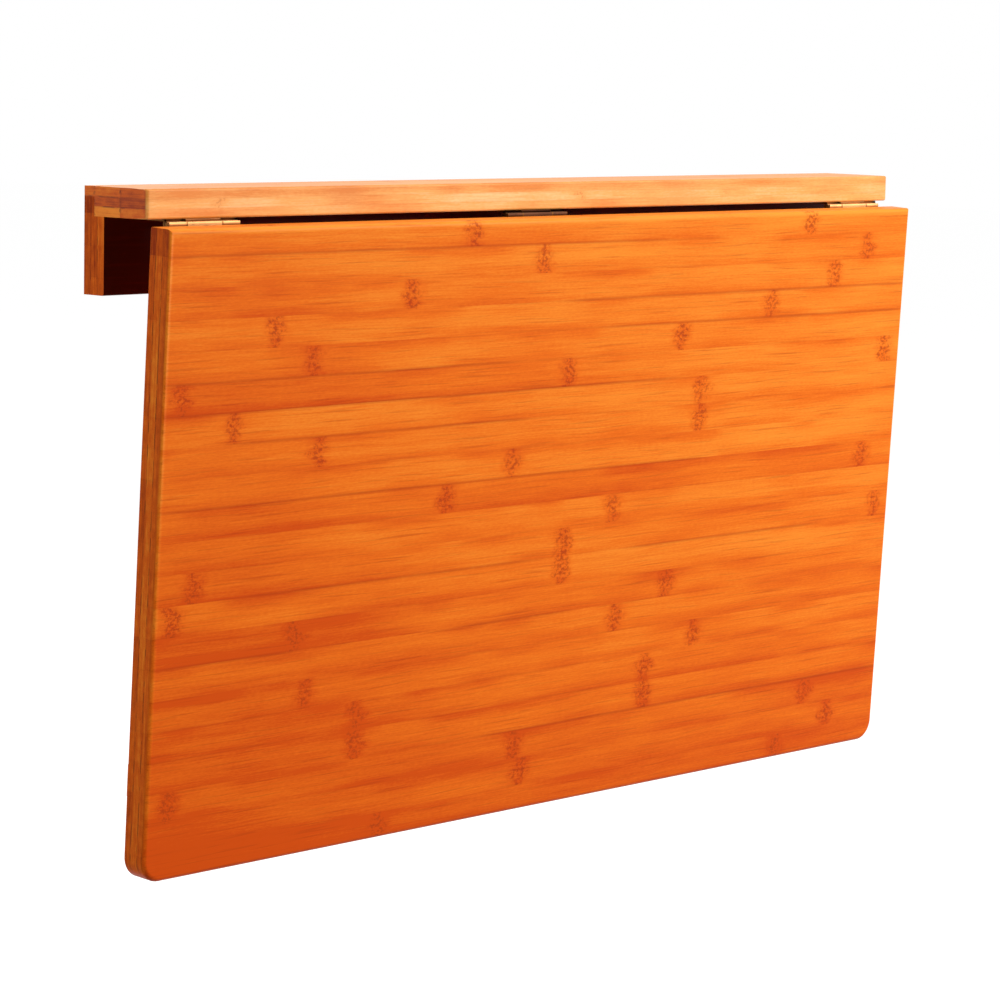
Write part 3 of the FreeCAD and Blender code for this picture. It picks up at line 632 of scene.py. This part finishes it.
def make_plate(name, outer):
    """A rolled hinge plate drawn under the shelf, with its outer or its middle knuckles."""
    half, quarter = HINGE_LENGTH / 2, HINGE_LENGTH / 4
    split = quarter if outer else quarter - KNUCKLE_GAP
    root, low = KNUCKLE + KNUCKLE_GAP, KNUCKLE - PLATE
    plate = block(name, (-half, root, low), (half, PLATE_WIDTH, KNUCKLE))
    for side in (-1, 1):
        slice_at(plate, 0, side * split)

    def rolled(spot):
        return (abs(spot.x) > split - SLACK) if outer else (abs(spot.x) < split + SLACK)

    pull_out(plate, (0, -root, 0), lambda spot: near(spot.y, root) and rolled(spot))
    # the strips that were pulled out roll round the pin and stop short of the plate
    pick(plate, "FACE", lambda spot: near(spot.y, 0) and spot.z > 0)
    bpy.ops.mesh.spin(steps=26, angle=KNUCKLE_TURN, center=(0, 0, 0), axis=(1, 0, 0))
    bpy.ops.object.mode_set(mode="OBJECT")
    for side in (-half, half):
        round_off(plate, PLATE_CORNER, 5,
                  lambda spot: near(spot.x, side) and near(spot.y, PLATE_WIDTH))
    cutters, upright = [], (0, 0, 0)
    for along, back in PLATE_SCREWS:
        cutters.append(rod("bore", (along, back, 2.4), PLATE_HOLE, 6, upright))
        cutters.append(rod("sink", (along, back, low + 0.5), 4.05, 2.4, upright, top=PLATE_HOLE))
    drill(plate, cutters)
    use_modifier(plate, "BEVEL", width=PLATE_EASING * MM, segments=3, limit_method="ANGLE",
                 angle_limit=math.radians(50))
    return plate


def copy_of(piece, name):
    """A copy of a piece with a mesh of its own."""
    copy = piece.copy()
    copy.data = piece.data.copy()
    copy.name = copy.data.name = name
    bpy.context.scene.collection.objects.link(copy)
    return copy


def make_hinges(metals):
    """Three butt hinges: one of each plate and pin is made, and the others are copies."""
    outer, inner = make_plate("outer_knuckles", True), make_plate("inner_knuckle", False)
    pin = rod("pin", (0, 0, 0), PIN, HINGE_LENGTH, (0, math.radians(90), 0), vertices=32)
    for side in (-1, 1):
        round_off(pin, PIN_EASING, 3, lambda spot: near(spot.x, side * HINGE_LENGTH / 2))
    # half a turn that lays a plate drawn under the shelf against the leaf's back
    flipped = Matrix.Rotation(math.radians(180), 4, Vector((0, 1, -1)).normalized())
    for name, along in HINGES.items():
        brass = metals[name]
        shelf_side = copy_of(outer, name + "_plate_under_shelf")
        place_piece(shelf_side, at_pin(along))
        complete(shelf_side, "wall_part", "hinge_brass", brass, name + "_hinge_shelf_plate")
        leaf_side = copy_of(inner, name + "_plate_on_leaf")
        place_piece(leaf_side, at_pin(along) @ Matrix.Rotation(HANG, 4, "X") @ flipped)
        complete(leaf_side, "leaf", "hinge_brass", brass, name + "_hinge_leaf_plate")
        own_pin = copy_of(pin, name + "_pin")
        place_piece(own_pin, at_pin(along))
        complete(own_pin, "wall_part", "hinge_brass", brass, name + "_hinge_pin")
    for made in (outer, inner, pin):
        bpy.data.objects.remove(made)


# Giving finishes to the pieces

def dress(node, material):
    """Give a CAD node its finish."""
    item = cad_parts[node]
    item.data.materials.clear()
    item.data.materials.append(material)


# Bamboo from deep to pale, in the leaf and most boards, in the shelf and in the rail; the rail's
# deep end is also the painted shade on its front
LEAF_COLOURS = (paint(214, 78, 6), paint(238, 112, 20), paint(252, 146, 44))
PALE_COLOURS = (paint(228, 134, 50), paint(244, 171, 90), paint(247, 206, 146))
RAIL_COLOURS_AND_PAINTED_SHADE = (paint(78, 21, 8), paint(214, 84, 12), paint(246, 130, 36))

# How each board is laid up, with its strips and plies counted from its corner. The corners
# of the boards behind the leaf are rough, because their pattern can lie anywhere
leaf_face = Board((0, 2, 1), (0, -KNUCKLE - THICK, LEAF_TOP), (1, -1, 1), hung=True,
                  end_tones=(0.48, 0.6, 0.42))
shelf_face = Board((0, 1, 2), (0, -SHELF_DEPTH, SHELF_TOP), (1, 1, -1), first=26, width=26,
                   knot_ply=1, end_tones=(0.6, 0.45, 0.85), end_seams=0.8)
rail_face = Board((0, 2, 1), (0, -THICK, SHELF_TOP - THICK), (1, -1, 1), first=-2,
                  end_tones=(0.5, 0.4, 0.3))
seat_face = Board((0, 2, 1), (0, -22, -88), (1, -1, 1))
upright_face = Board((2, 0, 1), (-9, -16, 0), (1, 1, 1))
brace_face = Board((2, 0, 1), (4, -KNUCKLE, 0), (1, 1, 1), hung=True)
bar_face = Board((0, 2, 1), (0, -KNUCKLE, 0), (1, -1, 1), hung=True)

# The leaf's tone carries painted light and shade: darker to its left and bottom, highlights on
# its top edge and ends
leaf_bamboo = bamboo("leaf_bamboo", leaf_face, LEAF_COLOURS, seed=3, knots=LEAF_KNOTS,
                     lines=LEAF_LINES, tone_shift_and_painted_light=leaf_tone_and_painted_light)
shelf_bamboo = bamboo("shelf_bamboo", shelf_face, PALE_COLOURS, seed=21, knots=SHELF_KNOTS,
                      tone_shift_and_painted_light=shelf_slope, share=0.6, shine=0.22)
# the rail's front is painted dark as shade
rail_bamboo = bamboo("rail_bamboo", rail_face, RAIL_COLOURS_AND_PAINTED_SHADE, seed=34, tone_shift_and_painted_light=rail_painted_shade,
                     share=0.6)
seat_bamboo = bamboo("seat_bamboo", seat_face, LEAF_COLOURS, seed=71)
upright_bamboo = bamboo("upright_bamboo", upright_face, LEAF_COLOURS, seed=45)
brace_bamboo = bamboo("brace_bamboo", brace_face, LEAF_COLOURS, seed=52)
bar_bamboo = bamboo("bar_bamboo", bar_face, LEAF_COLOURS, seed=67)
hinge_brass = metal("hinge_brass", paint(200, 150, 94), 0.5)
# The hinges are one brass in lit and shaded copies: the left one is painted a little darker and
# the middle one dark, as painted shade; the right one has the brass's own colour
hinge_metals = {
    "left": metal("left_hinge_brass_painted_shade", paint(168, 120, 74), 0.5, HINGES["left"]),
    "middle": metal("painted_shade_hinge_brass", paint(74, 44, 28), 0.55, HINGES["middle"]),
    "right": metal("right_hinge_brass", paint(200, 150, 96), 0.5, HINGES["right"])}
zinc_steel = metal("zinc_steel", paint(196, 198, 202), 0.34)
foot_rubber = rubber("foot_rubber")

FINISHES = {
    "seat_rail": seat_bamboo, "left_upright": upright_bamboo, "right_upright": upright_bamboo,
    "left_batten": brace_bamboo, "right_batten": brace_bamboo,
    "left_brace_stile": brace_bamboo, "right_brace_stile": brace_bamboo,
    "foot_bar": bar_bamboo, "brace_crossbar": bar_bamboo,
    "frame_dowels": upright_bamboo, "brace_dowels": upright_bamboo,
    "left_foot_pad": foot_rubber, "right_foot_pad": foot_rubber,
}
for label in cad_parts:
    plain = hinge_brass if "hinge" in label else zinc_steel
    dress(label, FINISHES.get(label, plain))

make_leaf(leaf_bamboo)
make_shelf(shelf_bamboo)
make_rail(rail_bamboo)
make_hinges(hinge_metals)


# Studio: floor, soft lamps, white surroundings and the camera

# The light that reaches the object from all round, where 1 is white
FILL = 0.1
# The floor's white where it is seen, and how far it lies below the shelf's top, in mm
FLOOR_WHITE = 0.97
TABLE_HEIGHT = 750
# Each lamp's place, the point that it faces, its width in metres and its power in watts
LAMPS = {
    "front_lamp": ((2.3, -3.4, 1.5), (0, -0.05, -0.15), 2.2, 215),
    "top_lamp": ((0.2, -0.4, 2.0), (0, -0.05, 0), 1.6, 20),
    "side_lamp": ((-2.4, 0.6, 0.6), (-0.4, -0.05, -0.1), 0.6, 28),
    "back_lamp": ((0.6, 2.6, 0.8), (0, 0, -0.1), 1.6, 40),
}
# The camera that took the photograph, found from the table's edges, with its lens in mm
CAMERA_SPOT = Vector((-1.9661, -1.8422, 0.1406))
CAMERA_AZIMUTH = math.radians(-47.0331)
CAMERA_ELEVATION = math.radians(7.1098)
CAMERA_ROLL = math.radians(1.2126)
CAMERA_LENS, CAMERA_SENSOR = 129.64, 36


def white_where_seen(tree):
    """1 for the camera and for mirrors, and 0 for all other light."""
    path = tree.nodes.new("ShaderNodeLightPath")
    seen = None
    for ray in ("Is Camera Ray", "Is Glossy Ray", "Is Transmission Ray"):
        if seen is None:
            seen = path.outputs[ray]
            continue
        larger = tree.nodes.new("ShaderNodeMath")
        larger.operation = "MAXIMUM"
        tree.links.new(seen, larger.inputs[0])
        tree.links.new(path.outputs[ray], larger.inputs[1])
        seen = larger.outputs[0]
    return seen


def make_surroundings():
    """White where the camera looks, and a soft even fill for the object."""
    world = bpy.data.worlds.new("surroundings")
    bpy.context.scene.world = world
    world.use_nodes = True
    tree = world.node_tree
    tree.nodes.clear()
    output = tree.nodes.new("ShaderNodeOutputWorld")
    soft, white = [tree.nodes.new("ShaderNodeBackground") for _ in range(2)]
    soft.inputs["Color"].default_value = (1, 1, 1, 1)
    soft.inputs["Strength"].default_value = FILL
    white.inputs["Color"].default_value = (1, 1, 1, 1)
    white.inputs["Strength"].default_value = 1
    mix = tree.nodes.new("ShaderNodeMixShader")
    tree.links.new(white_where_seen(tree), mix.inputs[0])
    tree.links.new(soft.outputs[0], mix.inputs[1])
    tree.links.new(white.outputs[0], mix.inputs[2])
    tree.links.new(mix.outputs[0], output.inputs["Surface"])


def make_floor(level):
    """A pale floor that keeps the table's shadow."""
    bpy.ops.object.select_all(action="DESELECT")
    bpy.ops.mesh.primitive_plane_add(size=30, location=(0, 0, level))
    floor = bpy.context.object
    floor.name = "studio_floor"
    material = bpy.data.materials.new("pale_floor")
    material.use_nodes = True
    tree = material.node_tree
    tree.nodes.clear()
    output = tree.nodes.new("ShaderNodeOutputMaterial")
    plain = tree.nodes.new("ShaderNodeBsdfDiffuse")
    plain.inputs["Color"].default_value = (0.25, 0.25, 0.25, 1)
    glow = tree.nodes.new("ShaderNodeEmission")
    glow.inputs["Color"].default_value = (FLOOR_WHITE,) * 3 + (1,)
    tree.links.new(white_where_seen(tree), glow.inputs["Strength"])
    both = tree.nodes.new("ShaderNodeAddShader")
    tree.links.new(plain.outputs[0], both.inputs[0])
    tree.links.new(glow.outputs[0], both.inputs[1])
    tree.links.new(both.outputs[0], output.inputs["Surface"])
    floor.data.materials.append(material)


def make_lamp(name, spot, aim, width, power):
    """A large soft lamp that faces a point."""
    lamp = bpy.data.lights.new(name, "AREA")
    lamp.shape = "SQUARE"
    lamp.size = width
    lamp.energy = power
    item = bpy.data.objects.new(name, lamp)
    bpy.context.scene.collection.objects.link(item)
    item.location = spot
    item.rotation_euler = (Vector(aim) - Vector(spot)).to_track_quat("-Z", "Y").to_euler()


def make_camera():
    """Set up the camera that took the photograph."""
    turn, dip = CAMERA_AZIMUTH, CAMERA_ELEVATION
    ahead = Vector((-math.sin(turn) * math.cos(dip), math.cos(turn) * math.cos(dip),
                    -math.sin(dip)))
    right = ahead.cross(Vector((0, 0, 1))).normalized()
    up = right.cross(ahead)
    cos, sin = math.cos(CAMERA_ROLL), math.sin(CAMERA_ROLL)
    right, up = cos * right + sin * up, cos * up - sin * right
    data = bpy.data.cameras.new("photo_camera")
    data.lens = CAMERA_LENS
    data.sensor_width = CAMERA_SENSOR
    data.clip_start = 0.05
    data.clip_end = 60
    camera = bpy.data.objects.new("photo_camera", data)
    bpy.context.scene.collection.objects.link(camera)
    turned = Matrix((right, up, -ahead)).transposed()
    camera.matrix_world = Matrix.Translation(CAMERA_SPOT) @ turned.to_4x4()
    bpy.context.scene.camera = camera


bpy.context.scene.view_settings.view_transform = "Standard"
make_surroundings()
make_floor((SHELF_TOP - TABLE_HEIGHT) * MM)
for name, lamp in LAMPS.items():
    make_lamp(name, *lamp)
make_camera()
